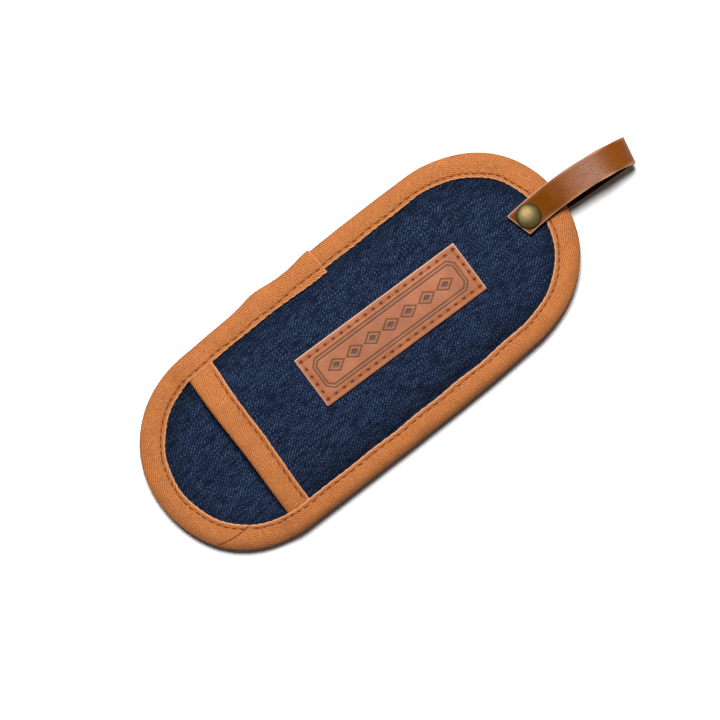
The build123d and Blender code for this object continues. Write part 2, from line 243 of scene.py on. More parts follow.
def denim_material(name, wear):
    made, tree, shader = start_material(name)
    where = add(tree, "ShaderNodeTexCoord").outputs["Object"]
    axes = add(tree, "ShaderNodeSeparateXYZ", None, {"Vector": where})
    # Threads aren't dead straight, so the grid is pushed about a little before it is drawn.
    sway = add(tree, "ShaderNodeTexNoise", None, {"Vector": where, "Scale": 1 / (6 * mm), "Detail": 3.0})
    sway = maths(tree, "MULTIPLY", maths(tree, "SUBTRACT", sway.outputs["Fac"], 0.5), 1.6 * mm)
    along = maths(tree, "DIVIDE", maths(tree, "ADD", axes.outputs["X"], sway), WEFT)
    across = maths(tree, "DIVIDE", maths(tree, "ADD", axes.outputs["Y"], sway), WARP)
    warp_number = maths(tree, "FLOOR", across)
    # No two warp threads start their floats level, so each one's are moved along a little.
    uneven = add(tree, "ShaderNodeTexWhiteNoise", {"noise_dimensions": "1D"}, {"W": warp_number})
    along = maths(tree, "MULTIPLY_ADD", uneven.outputs["Value"], 1.1, along)
    phase = maths(tree, "FLOORED_MODULO", maths(tree, "SUBTRACT", along, warp_number), 4.0)
    # Height of the warp thread: a long float for three wefts, and a dip under the fourth.
    lift = maths(tree, "SINE", maths(tree, "MULTIPLY", phase, pi / 4))
    in_thread = maths(tree, "SUBTRACT", maths(tree, "FRACT", across), 0.5)
    crown = maths(tree, "SUBTRACT", 1.0, maths(tree, "MULTIPLY", 2.6, maths(tree, "POWER", in_thread, 2.0)))
    height = maths(tree, "MULTIPLY", lift, crown)
    # Each thread and each float has its own shade.
    cell = add(tree, "ShaderNodeCombineXYZ", None, {
        "X": maths(tree, "FLOOR", maths(tree, "DIVIDE", maths(tree, "SUBTRACT", along, warp_number), 4.0)),
        "Y": warp_number,
    })
    luck = add(tree, "ShaderNodeTexWhiteNoise", {"noise_dimensions": "2D"}, {"Vector": cell.outputs[0]})
    slub_axes = add(tree, "ShaderNodeVectorMath", {"operation": "MULTIPLY"}, {0: where, 1: (0.5, 1.0, 1.0)})
    slub = add(tree, "ShaderNodeTexNoise", None, {
        "Vector": slub_axes.outputs[0],
        "Scale": 1 / (0.5 * mm),
        "Detail": 3.0,
    })
    cloud = add(tree, "ShaderNodeTexNoise", None, {"Vector": where, "Scale": 1 / (14 * mm), "Detail": 4.0})
    shade = maths(tree, "MULTIPLY", maths(tree, "ADD", luck.outputs["Value"], slub.outputs["Fac"]), 0.5)
    shade = maths(tree, "MULTIPLY", maths(tree, "POWER", shade, 1.5), maths(tree, "ADD", 1.0, lift))
    shade = maths(tree, "MULTIPLY", shade, maths(tree, "MULTIPLY_ADD", cloud.outputs["Fac"], 0.6, 0.2 + wear))
    # Painted shade: a strip of cloth beside the edge tape's hem is painted darker, as shade by the hem.
    hem_shade = add(tree, "ShaderNodeAttribute", {"attribute_name": "seam_shade"}).outputs["Fac"]
    paleness = maths(tree, "MULTIPLY_ADD", hem_shade, -0.45, 1.0)
    shade = maths(tree, "MULTIPLY", shade, paleness)
    indigo = colour_between(tree, shade, linear(INDIGO), linear(INDIGO_WORN))
    fleck = maths(tree, "GREATER_THAN", 0.34, lift)
    fleck = maths(tree, "MULTIPLY", fleck, maths(tree, "POWER", luck.outputs["Value"], 2.0))
    fleck = maths(tree, "MULTIPLY", fleck, maths(tree, "MULTIPLY_ADD", slub.outputs["Fac"], 1.1, wear - 0.15))
    fleck = maths(tree, "MULTIPLY", fleck, paleness)
    cloth = colour_between(tree, fleck, indigo.outputs["Result"], linear(WEFT_WHITE))
    tree.links.new(cloth.outputs["Result"], shader.inputs["Base Color"])
    relief = add(tree, "ShaderNodeBump", None, {"Strength": 0.7, "Distance": 0.14 * mm, "Height": height})
    tree.links.new(relief.outputs["Normal"], shader.inputs["Normal"])
    shader.inputs["Roughness"].default_value = 0.9
    shader.inputs["Specular IOR Level"].default_value = 0.08
    return made


# Needled wadding: matted off-white fibre with no weave, so only clumps show.
WADDING_SHADE, WADDING_PALE = "#C9C3B4", "#F1EDE2"


def wadding_material():
    made, tree, shader = start_material("needled_wadding")
    where = add(tree, "ShaderNodeTexCoord").outputs["Object"]
    clumps = add(tree, "ShaderNodeTexNoise", None, {"Vector": where, "Scale": 1 / (2 * mm), "Detail": 8.0})
    shade = colour_between(tree, clumps.outputs["Fac"], linear(WADDING_SHADE), linear(WADDING_PALE))
    tree.links.new(shade.outputs["Result"], shader.inputs["Base Color"])
    relief = add(tree, "ShaderNodeBump", None, {"Distance": 0.4 * mm, "Height": clumps.outputs["Fac"]})
    tree.links.new(relief.outputs["Normal"], shader.inputs["Normal"])
    shader.inputs["Roughness"].default_value = 1.0
    return made


outer_denim = denim_material("indigo_denim", 0.35)
wadding_felt = wadding_material()

POCKET_FLAT = 14 * mm  # half the width of the pocket's level floor
EDGE_SAG = 2.2 * mm  # an empty mitt's edge sinks this much towards the table, except near the strap
SAG_FADES = (35 * mm, 68 * mm)  # past the middle, where the rivet and the strap begin to hold it up
SEAM_SHADE_WIDTH = 7 * mm  # the strip of denim beside the seam that is painted darker, as painted shade by the hem
back_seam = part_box("back_shell")[1].z - DENIM
floor_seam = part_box("back_lining")[1].z
floor_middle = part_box("back_wadding")[0].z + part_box("back_lining")[0].z
RELAXED = 1.3 * mm  # an empty pocket's walls loft inwards this much, as nothing holds it open


def edge_sag(x):
    return EDGE_SAG * (1 - smooth_step(*SAG_FADES, x))


def back_surface(x, y):
    return wall_height(x, y, back_seam - edge_sag(x), 0.0, POCKET_FLAT)


def pocket_floor(x, y):
    return wall_height(x, y, floor_seam, floor_middle + RELAXED, POCKET_FLAT)


def beside_seam(x, y):
    """How near the edge tape's hem each point of a wall is, from 0 to 1, on both its faces, for painted
    shade.
    """
    near = smooth_step(seam_radius - SEAM_SHADE_WIDTH, seam_radius, from_middle_line(x, y)).ravel()
    return np.concatenate([near, near])


x, y = cloth_grid(90, 150)
back_denim = add_piece("back_denim", *closed_cloth(x, y, back_surface(x, y), back_surface(x, y) + DENIM))
back_denim.data.materials.append(outer_denim)
# Where the painted shade beside the hem falls.
note(back_denim, "seam_shade", beside_seam(x, y))
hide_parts("back_shell")

floor_top = pocket_floor(x, y)
pocket_back = add_piece("pocket_back_denim", *closed_cloth(x, y, floor_top - DENIM, floor_top))
pocket_back.data.materials.append(outer_denim)
note(pocket_back, "seam_shade", beside_seam(x, y))
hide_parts("back_lining")

x, y = cloth_grid(60, 90)
back_padding = add_piece(
    "back_padding",
    *closed_cloth(x, y, back_surface(x, y) + DENIM, pocket_floor(x, y) - DENIM),
)
back_padding.data.materials.append(wadding_felt)
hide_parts("back_wadding")

# ---------------------------------------------------------------- the front wall
# The front wall is denim over wadding over a plain cotton lining. It is cut off nearly square by
# the left end, where the pocket's mouth is, and is nearly flat: the edge seam, the patch and the
# rivet hold it down, and the cloth is eased into soft ripples between them.

LINING = 0.5 * mm
FRONT_FLAT = 6 * mm
PATCH_TURN = radians(-2.6)
PATCH_HOLDS = (40.5 * mm, 11.7 * mm)  # half the length and half the width that its stitches hold

mouth_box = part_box("mouth_binding")
mouth_x = mouth_box[0].x + mouth_box[1].y * sin(MOUTH_LEAN)
front_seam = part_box("front_shell")[0].z + DENIM
front_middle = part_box("front_shell")[1].z
ceiling_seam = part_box("front_lining")[0].z
ceiling_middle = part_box("front_lining")[1].z - LINING
patch_low, patch_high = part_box("leather_patch")
patch_centre = (patch_low + patch_high) / 2


def mouth_line(y):
    """Where the tape folds over the front wall's end, at that distance across."""
    return mouth_x + y * tan(MOUTH_LEAN)


def cut_line(y):
    """Where the front wall's layers end, inside that fold."""
    return mouth_line(y) + 0.8 * mm


def front_surface(x, y):
    return wall_height(x, y, front_seam, front_middle, FRONT_FLAT)


def pocket_ceiling(x, y):
    return wall_height(x, y, ceiling_seam, ceiling_middle - RELAXED, POCKET_FLAT)


def in_patch(x, y):
    """Position along and across the patch, from its centre."""
    dx, dy = x - patch_centre.x, y - patch_centre.y
    return (
        dx * cos(PATCH_TURN) + dy * sin(PATCH_TURN),
        dy * cos(PATCH_TURN) - dx * sin(PATCH_TURN),
    )


def held_down(x, y):
    """True where stitches or the rivet hold the front denim still."""
    u, v = in_patch(x, y)
    patch = (abs(u) < PATCH_HOLDS[0]) & (abs(v) < PATCH_HOLDS[1])
    seam = from_middle_line(x, y) > seam_radius - 1.0 * mm
    mouth = x < mouth_line(y) + 11 * mm
    near_rivet = np.hypot(x - rivet[0], y - rivet[1]) < 6 * mm
    return patch | seam | mouth | near_rivet


def ripples(x, y):
    """Eased cloth puckers along the edge seam, less and less towards the middle."""
    rng = np.random.default_rng(7)
    depth = seam_radius - from_middle_line(x, y)
    around = np.where(abs(x) < end_centre, x * np.sign(y), np.arctan2(y, abs(x) - end_centre) * seam_radius)
    total = 0 * x
    for _ in range(7):
        wave, phase, slant = rng.uniform(9, 21) * mm, rng.uniform(0, 2 * pi), rng.uniform(-0.5, 0.5)
        total = total + np.sin(2 * pi * (around + slant * depth) / wave + phase)
    near_seam = np.exp(-np.clip(depth, 0, None) / (9 * mm)) * np.clip(depth / (2 * mm), 0, 1)
    return total / 7 * near_seam * 0.32 * mm


def settle(piece, held, steps=20, most=0.7 * mm):
    """Runs the cloth simulation on a closed, padded form and gives each point's movement."""
    count = len(piece.data.vertices)
    rest = np.empty(count * 3, np.float32)
    piece.data.vertices.foreach_get("co", rest)
    group = piece.vertex_groups.new(name="sewn")
    group.add(np.flatnonzero(held).tolist(), 1.0, "REPLACE")
    cloth = piece.modifiers.new("Cloth", "CLOTH")
    cloth.settings.vertex_group_mass = "sewn"
    cloth.settings.quality = 6
    cloth.settings.mass = 0.45
    cloth.settings.tension_stiffness = 20
    cloth.settings.compression_stiffness = 20
    cloth.settings.bending_stiffness = 8
    cloth.settings.shrink_min = -0.02
    cloth.settings.use_pressure = True
    cloth.settings.uniform_pressure_force = 2.0
    cloth.settings.effector_weights.gravity = 0
    cloth.point_cache.frame_start = 1
    cloth.point_cache.frame_end = steps
    for number in range(1, steps + 1):
        bpy.context.scene.frame_set(number)
    settled = piece.evaluated_get(bpy.context.evaluated_depsgraph_get()).to_mesh()
    now = np.empty(count * 3, np.float32)
    settled.vertices.foreach_get("co", now)
    piece.modifiers.remove(cloth)
    bpy.context.scene.frame_set(1)
    return np.clip((now - rest).reshape(-1, 3), -most, most)


def finer(values, rows, columns):
    """The same smooth grid of values with more rows and columns."""
    old_rows, old_columns = (np.linspace(0, 1, size) for size in values.shape)
    wide = [np.interp(np.linspace(0, 1, columns), old_columns, row) for row in values]
    tall = [np.interp(np.linspace(0, 1, rows), old_rows, column) for column in np.array(wide).T]
    return np.array(tall).T


x, y = cloth_grid(170, 240, cut_line)
front_top = front_surface(x, y) + ripples(x, y)
# The edge's stitches press the denim down along the tape's hem.
hem_reach = fold_radius - hem_cover(round_to(x, y))
front_top = front_top - 0.6 * mm * bump(from_middle_line(x, y), hem_reach - 0.1 * mm, 0.7 * mm)
form_x, form_y = cloth_grid(76, 110, cut_line)
form_top = front_surface(form_x, form_y) + ripples(form_x, form_y)
form = add_piece("front_form", *closed_cloth(form_x, form_y, pocket_ceiling(form_x, form_y), form_top))
still = np.concatenate([held_down(form_x, form_y).ravel(), np.full(form_x.size, True)])
moved = settle(form, still)[: form_x.size].reshape(*form_x.shape, 3)
bpy.data.objects.remove(form)
front_top = front_top + finer(moved[..., 2], *x.shape)
front_denim = add_piece("front_denim", *closed_cloth(x, y, front_top - DENIM, front_top))
front_denim.data.materials.append(outer_denim)
note(front_denim, "seam_shade", beside_seam(x, y))
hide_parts("front_shell")

x, y = cloth_grid(60, 80, cut_line)
front_padding = add_piece(
    "front_padding",
    *closed_cloth(x, y, pocket_ceiling(x, y) + LINING, front_surface(x, y) - 1.3 * DENIM),
)
front_padding.data.materials.append(wadding_felt)
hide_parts("front_wadding")


# Plain-woven cotton: one thread over, one under, dyed navy and matt, with a fine square grid.
NAVY_DARK, NAVY_PALE = "#1B2438", "#2B3954"


def lining_material():
    made, tree, shader = start_material("navy_plain_cotton")
    where = add(tree, "ShaderNodeTexCoord").outputs["Object"]
    axes = add(tree, "ShaderNodeSeparateXYZ", None, {"Vector": where})
    threads = [
        maths(tree, "SINE", maths(tree, "MULTIPLY", axes.outputs[axis], 2 * pi / (0.5 * mm)))
        for axis in ("X", "Y")
    ]
    height = maths(tree, "MULTIPLY", *threads)
    shade = maths(tree, "MULTIPLY_ADD", height, 0.5, 0.5)
    cloth = colour_between(tree, shade, linear(NAVY_DARK), linear(NAVY_PALE))
    tree.links.new(cloth.outputs["Result"], shader.inputs["Base Color"])
    relief = add(tree, "ShaderNodeBump", None, {"Distance": 0.08 * mm, "Height": height})
    tree.links.new(relief.outputs["Normal"], shader.inputs["Normal"])
    shader.inputs["Roughness"].default_value = 0.9
    return made


ceiling = pocket_ceiling(x, y)
pocket_front = add_piece("pocket_front_lining", *closed_cloth(x, y, ceiling, ceiling + LINING))
pocket_front.data.materials.append(lining_material())
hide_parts("front_lining")

# ---------------------------------------------------------------- the leather patch
# The patch is a rectangle of waxed vegetable-tanned leather, die-cut, so that its edges show the
# paler raw hide. A hot plate has pressed a plain border and a row of diamonds into it.

PATCH_LENGTH, PATCH_WIDTH, PATCH_LEATHER = 81.1 * mm, 23.4 * mm, 1.4 * mm
PATCH_ENDS_IN, PATCH_ROWS_IN, PATCH_PITCH = 1.9 * mm, 2.3 * mm, 4.0 * mm
BORDER_IN, BORDER_GAP, BORDER_CORNER = 4.5 * mm, 1.3 * mm, 2.6 * mm
DIAMONDS, DIAMOND_PITCH, DIAMOND_LONG, DIAMOND_TALL = 7, 9.2 * mm, 3.9 * mm, 2.7 * mm


def pressed_lines(u, v):
    """How deep the hot plate has pressed, from 0 to 1: a double border and a row of diamonds."""
    long, tall = PATCH_LENGTH / 2 - BORDER_IN, PATCH_WIDTH / 2 - BORDER_IN
    slant = (abs(u) + abs(v) - (long + tall - BORDER_CORNER)) / 2**0.5
    border = np.maximum(np.maximum(abs(u) - long, abs(v) - tall), slant)
    lines = [abs(border), abs(border + BORDER_GAP)]
    for k in range(DIAMONDS):
        offset = u - (k - (DIAMONDS - 1) / 2) * DIAMOND_PITCH
        diamond = (abs(offset) / DIAMOND_LONG + abs(v) / DIAMOND_TALL - 1) * DIAMOND_TALL * 0.82
        lines += [abs(diamond), np.maximum(diamond + 1.4 * mm, 0)]
    nearest = np.minimum.reduce(lines)
    return 1 - smooth_step(0.16 * mm, 0.36 * mm, nearest)


def from_patch(u, v):
    """The place on the mitt of a position along and across the patch."""
    return (
        patch_centre.x + u * cos(PATCH_TURN) - v * sin(PATCH_TURN),
        patch_centre.y + u * sin(PATCH_TURN) + v * cos(PATCH_TURN),
    )


def patch_stitch_places():
    """Middle and heading of each stitch round the patch, in the patch's own directions."""
    places = []
    for run, reach, turned in (
        (PATCH_LENGTH - 2 * PATCH_ENDS_IN, PATCH_WIDTH / 2 - PATCH_ROWS_IN, False),
        (PATCH_WIDTH - 2 * PATCH_ROWS_IN, PATCH_LENGTH / 2 - PATCH_ENDS_IN, True),
    ):
        count = round(run / PATCH_PITCH)
        for side in (-1, 1):
            for k in range(count):
                along = (k + 0.5 - count / 2) * run / count
                spot = (side * reach, along) if turned else (along, side * reach)
                places.append((*spot, pi / 2 if turned else 0.0, run / count))
    return places


def with_edge_lines(length, spacing, edge):
    """Grid lines along one side, closer together over each rounded edge."""
    close = np.array([0, 0.06, 0.15, 0.3, 0.5, 0.8]) * edge
    middle = np.linspace(edge, length - edge, round((length - 2 * edge) / spacing))
    return np.concatenate([close, middle, length - close[::-1]]) - length / 2


ROUNDED, GRID_STEP = 0.45 * mm, 0.27 * mm
PRESSED_DEEP, HOLE_DEEP, CHANNEL_DEEP = 0.26 * mm, 0.5 * mm, 0.12 * mm
u, v = np.meshgrid(
    with_edge_lines(PATCH_LENGTH, GRID_STEP, ROUNDED),
    with_edge_lines(PATCH_WIDTH, GRID_STEP, ROUNDED),
)
from_edge = np.minimum(PATCH_LENGTH / 2 - abs(u), PATCH_WIDTH / 2 - abs(v))
pressed = pressed_lines(u, v)
holes = 0 * u
channel = 0 * u
for place_u, place_v, heading, pitch in patch_stitch_places():
    along = (u - place_u) * cos(heading) + (v - place_v) * sin(heading)
    across = (v - place_v) * cos(heading) - (u - place_u) * sin(heading)
    for end in (-1, 1):
        gap = np.hypot((along - end * 0.5 * pitch) / 2.1, across)
        holes = np.maximum(holes, 1 - smooth_step(0.3 * mm, 0.55 * mm, gap))
    inside = (abs(along) < 0.5 * pitch) * (1 - smooth_step(0.15 * mm, 0.6 * mm, abs(across)))
    channel = np.maximum(channel, inside)
drop = ROUNDED - np.sqrt(ROUNDED**2 - np.clip(ROUNDED - from_edge, 0, ROUNDED) ** 2)
swell = 0.12 * mm * smooth_step(1.6 * mm, 4 * mm, from_edge)
patch_x, patch_y = from_patch(u, v)
patch_under = front_surface(patch_x, patch_y) + 0.02 * mm
patch_top = patch_under + PATCH_LEATHER - drop + swell
patch_top = patch_top - PRESSED_DEEP * pressed - HOLE_DEEP * holes - CHANNEL_DEEP * channel
patch = add_piece("leather_patch_front", *closed_cloth(patch_x, patch_y, patch_under, patch_top))
# Painted shade: the long cut edge on the side away from the light is given much less of the pale raw hide
# than the rest.
lit_edges = v > 0.7 * mm - PATCH_WIDTH / 2
raw = (1 - smooth_step(0.1 * mm, 0.5 * mm, from_edge)) * (0.1 + 0.7 * lit_edges)
note(patch, "pressed", np.concatenate([pressed.ravel(), 0 * pressed.ravel()]))
# Painted shade: the needle holes, and faintly the stitch channels, are painted dark.
note(patch, "needled", np.concatenate([np.maximum(holes, channel * 0.06).ravel(), 0 * holes.ravel()]))
note(patch, "raw_edge", np.concatenate([raw.ravel(), 1 + 0 * raw.ravel()]))


# Leather: grain is a net of fine creases round pebbles of skin, the wax leaves soft clouds of
# darker and paler brown, pressed lines are scorched grey-brown, and cut edges are pale fibre.
HOLE_SHADE = "#3C1002"


def leather_material(name, dark, pale, edge, scorch_and_shade, grain, roughness, shine):
    made, tree, shader = start_material(name)
    where = add(tree, "ShaderNodeTexCoord").outputs["Object"]
    stretch = add(tree, "ShaderNodeTexNoise", None, {"Vector": where, "Scale": 1 / (2 * grain)})
    stretch = add(tree, "ShaderNodeVectorMath", {"operation": "SCALE"}, {
        0: stretch.outputs["Color"],
        "Scale": grain,
    })
    skin_place = add(tree, "ShaderNodeVectorMath", {"operation": "ADD"}, {0: where, 1: stretch.outputs[0]})
    pebbles = add(tree, "ShaderNodeTexVoronoi", {"feature": "DISTANCE_TO_EDGE"}, {
        "Vector": skin_place.outputs[0],
        "Scale": 1 / grain,
    })
    fibre = add(tree, "ShaderNodeTexNoise", None, {"Vector": where, "Scale": 1 / (0.35 * mm), "Detail": 6.0})
    cloud = add(tree, "ShaderNodeTexNoise", None, {"Vector": where, "Scale": 1 / (9 * mm), "Detail": 5.0})
    creases = maths(tree, "MINIMUM", maths(tree, "MULTIPLY", pebbles.outputs["Distance"], 5.0), 1.0)
    clouded = maths(tree, "MULTIPLY", cloud.outputs["Fac"], 0.65)
    shade = maths(tree, "MULTIPLY_ADD", fibre.outputs["Fac"], 0.35, clouded)
    shade = maths(tree, "SUBTRACT", maths(tree, "MULTIPLY", shade, 2.2), 0.6)
    # Painted light: where this mask is, the colour is painted paler.
    polish_and_painted_light = add(tree, "ShaderNodeAttribute", {"attribute_name": "polish_and_painted_light"}).outputs["Fac"]
    shade = maths(tree, "MULTIPLY_ADD", polish_and_painted_light, 1.3, shade)
    skin = colour_between(tree, shade, linear(dark), linear(pale)).outputs["Result"]
    # Pressed lines are scorched dark. On the strap the same colour paints shade on the flesh side.
    pressed = add(tree, "ShaderNodeAttribute", {"attribute_name": "pressed"}).outputs["Fac"]
    pressed = maths(tree, "MULTIPLY", pressed, 0.88)
    skin = colour_between(tree, pressed, skin, linear(scorch_and_shade)).outputs["Result"]
    raw = add(tree, "ShaderNodeAttribute", {"attribute_name": "raw_edge"}).outputs["Fac"]
    raw = maths(tree, "MULTIPLY", raw, maths(tree, "MULTIPLY_ADD", fibre.outputs["Fac"], 0.8, 0.45))
    skin = colour_between(tree, raw, skin, linear(edge)).outputs["Result"]
    # Painted shade: needle holes and stitch channels are painted dark, where shade falls in them.
    needled = add(tree, "ShaderNodeAttribute", {"attribute_name": "needled"}).outputs["Fac"]
    needled = maths(tree, "MULTIPLY", needled, 0.95)
    skin = colour_between(tree, needled, skin, linear(HOLE_SHADE)).outputs["Result"]
    tree.links.new(skin, shader.inputs["Base Color"])
    height = maths(tree, "MULTIPLY_ADD", fibre.outputs["Fac"], 0.5, creases)
    relief = add(tree, "ShaderNodeBump", None, {"Strength": 0.35, "Distance": 0.1 * mm, "Height": height})
    tree.links.new(relief.outputs["Normal"], shader.inputs["Normal"])
    rough = maths(tree, "MULTIPLY_ADD", fibre.outputs["Fac"], 0.15, roughness)
    rough = maths(tree, "MAXIMUM", rough, raw)
    tree.links.new(rough, shader.inputs["Roughness"])
    tree.links.new(maths(tree, "MULTIPLY_ADD", polish_and_painted_light, 0.27, shine), shader.inputs["Specular IOR Level"])
    return made


patch.data.materials.append(
    leather_material("waxed_patch_leather", "#6A3617", "#8E522D", "#CFAE96", "#2C2218", 0.7 * mm, 0.5, 0.3)
)
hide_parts("leather_patch")


def tube_faces(rows, columns, first=0):
    """Faces of a tube of points numbered ring by ring, with one flat face at each end."""
    faces = []
    for i in range(rows - 1):
        for j in range(columns):
            a = first + i * columns + j
            b = first + i * columns + (j + 1) % columns
            faces.append((a, b, b + columns, a + columns))
    last = first + (rows - 1) * columns
    faces.append(tuple(first + j for j in range(columns))[::-1])
    faces.append(tuple(last + j for j in range(columns)))
    return faces


# The patch is lockstitched with waxed brown thread. Each stitch is pulled down into the leather
# between two needle holes, and the bobbin thread makes the same row inside, on the wadding.
def sewn(name, stitches, thread, sag=0.35 * mm):
    """A piece made of stitches. Each is a list of points on the surface, and ends inside it."""
    sides = 6
    points, faces = [], []
    for path, up in stitches:
        path = np.asarray(path, float)
        up = np.asarray(up, float)
        share = np.linspace(0, 1, len(path))
        arch = (4 * share * (1 - share)) ** 0.5 - 1
        path = path + up * (0.3 * thread + sag * arch)[:, None]
        forward = np.gradient(path, axis=0)
        forward /= np.linalg.norm(forward, axis=1, keepdims=True)
        side = np.cross(forward, up)
        side /= np.linalg.norm(side, axis=1, keepdims=True)
        rise = np.cross(side, forward)
        first = len(points)
        for centre, s, r, t in zip(path, side, rise, share):
            fat = thread / 2 * (0.55 + 0.45 * (4 * t * (1 - t)) ** 0.5)
            for k in range(sides):
                angle = 2 * pi * k / sides
                points.append(centre + fat * (cos(angle) * s + sin(angle) * r))
        faces += tube_faces(len(path), sides, first)
    return add_piece(name, points, faces)


# Thread: two twisted plies with a slight sheen. The plies are too fine to show one by one, so
# they are drawn as a mottle of light and dark.
def thread_material(name, shade, dark):
    made, tree, shader = start_material(name)
    where = add(tree, "ShaderNodeTexCoord").outputs["Object"]
    plies = add(tree, "ShaderNodeTexNoise", None, {"Vector": where, "Scale": 1 / (0.3 * mm), "Detail": 4.0})
    twist = colour_between(tree, plies.outputs["Fac"], linear(dark), linear(shade))
    tree.links.new(twist.outputs["Result"], shader.inputs["Base Color"])
    relief = add(tree, "ShaderNodeBump", None, {"Distance": 0.06 * mm, "Height": plies.outputs["Fac"]})
    tree.links.new(relief.outputs["Normal"], shader.inputs["Normal"])
    shader.inputs["Roughness"].default_value = 0.7
    shader.inputs["Specular IOR Level"].default_value = 0.15
    return made


PATCH_THREAD, BOBBIN_THREAD = 0.5 * mm, 0.45 * mm
brown_thread = thread_material("waxed_brown_thread", "#AC6530", "#7B4118")
down, upward = np.array([0, 0, -1.0]), np.array([0, 0, 1.0])


def patch_row(lift, way):
    rows = []
    for place_u, place_v, heading, pitch in patch_stitch_places():
        step = np.linspace(-0.42, 0.42, 7) * pitch
        x, y = from_patch(place_u + step * cos(heading), place_v + step * sin(heading))
        rows.append((np.stack([x, y, front_surface(x, y) + lift], -1), way))
    return rows


patch_needle = sewn("patch_needle_stitches", patch_row(PATCH_LEATHER + 0.08 * mm, upward), PATCH_THREAD)
patch_bobbin = sewn("patch_bobbin_stitches", patch_row(-DENIM, down), BOBBIN_THREAD, 0.1 * mm)
for row, node in ((patch_needle, "patch_needle_thread"), (patch_bobbin, "patch_bobbin_thread")):
    row.data.materials.append(brown_thread)
    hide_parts(node)

# ---------------------------------------------------------------- the mouth's tape
# The pocket's mouth is bound with the same bias tape as the edge. The fold lies over the front
# wall's cut edge, with one hem on the denim and one on the lining, and one row of stitches
# through both near the hems.

TAPE_STITCH_IN, TAPE_PITCH, TAPE_THREAD = 1.75 * mm, 4.0 * mm, 0.6 * mm
MOUTH_COVER = 11.7 * mm
TUCKED = 2.5 * mm  # the mouth tape's ends run on this far under the edge tape


def rounded_off(corners, passes=3):
    """A smooth open curve near a list of corner points, by cutting its corners again and again."""
    line = np.asarray(corners, float)
    for _ in range(passes):
        before, after = line[:-1], line[1:]
        cut = np.stack([0.75 * before + 0.25 * after, 0.25 * before + 0.75 * after], 1)
        line = np.concatenate([line[:1], cut.reshape(-1, line.shape[1]), line[-1:]])
    return line


def spread_evenly(line, count):
    """The same curve with points evenly spaced along it, and each point's distance along it."""
    gaps = np.linalg.norm(np.diff(line[:, :2], axis=0), axis=1)
    travelled = np.concatenate([[0], np.cumsum(gaps)])
    at = np.linspace(0, travelled[-1], count)
    return np.stack([np.interp(at, travelled, line[:, k]) for k in range(line.shape[1])], -1), at


def stitch_dimples(s, across, pitch):
    """How far each needle hole pulls the tape in, from 0 to 1, and how far the row does."""
    to_hole = abs((s / pitch + 0.5) % 1 - 0.5) * pitch
    hole = bump(to_hole, 0, 0.5 * mm) * bump(across, 0, 0.4 * mm)
    return hole, bump(across, 0, 0.6 * mm)


def strip_faces(rows, columns):
    """Faces of a long strip whose cross-section is a closed loop, with its two ends filled."""
    faces = []
    for i in range(rows - 1):
        for j in range(columns):
            a, b = i * columns + j, i * columns + (j + 1) % columns
            faces.append((a, b, b + columns, a + columns))
    half = columns // 2
    for start, flip in ((0, True), ((rows - 1) * columns, False)):
        for j in range(half - 1):
            face = (start + j, start + j + 1, start + columns - 2 - j, start + columns - 1 - j)
            faces.append(face[::-1] if flip else face)
    return faces


def weave_note(piece, along, across):
    """Keeps each point's place along and across the tape, in metres, for its weave to follow."""
    attribute = piece.data.attributes.new("weave", "FLOAT_VECTOR", "POINT")
    values = np.stack([along, across, 0 * along], -1).astype(np.float32)
    attribute.data.foreach_set("vector", values.ravel())


# Bias tape: orange cotton twill cut slantwise, so its fine wales run nearly along the tape.
# Matt and slightly fuzzy. Paler along each hem's fold, partly rubbed and partly a painted highlight
# where the fold catches the light, and painted shade darkens needle holes, stitch grooves and creases.
WALE, WALE_SLANT = 0.84 * mm, radians(-17)
TAPE_SHADE, TAPE_ORANGE, TAPE_WEAR_AND_HIGHLIGHT, TAPE_RECESS_SHADE = "#66330F", "#A4602A", "#BE8E6C", "#5E2C0E"


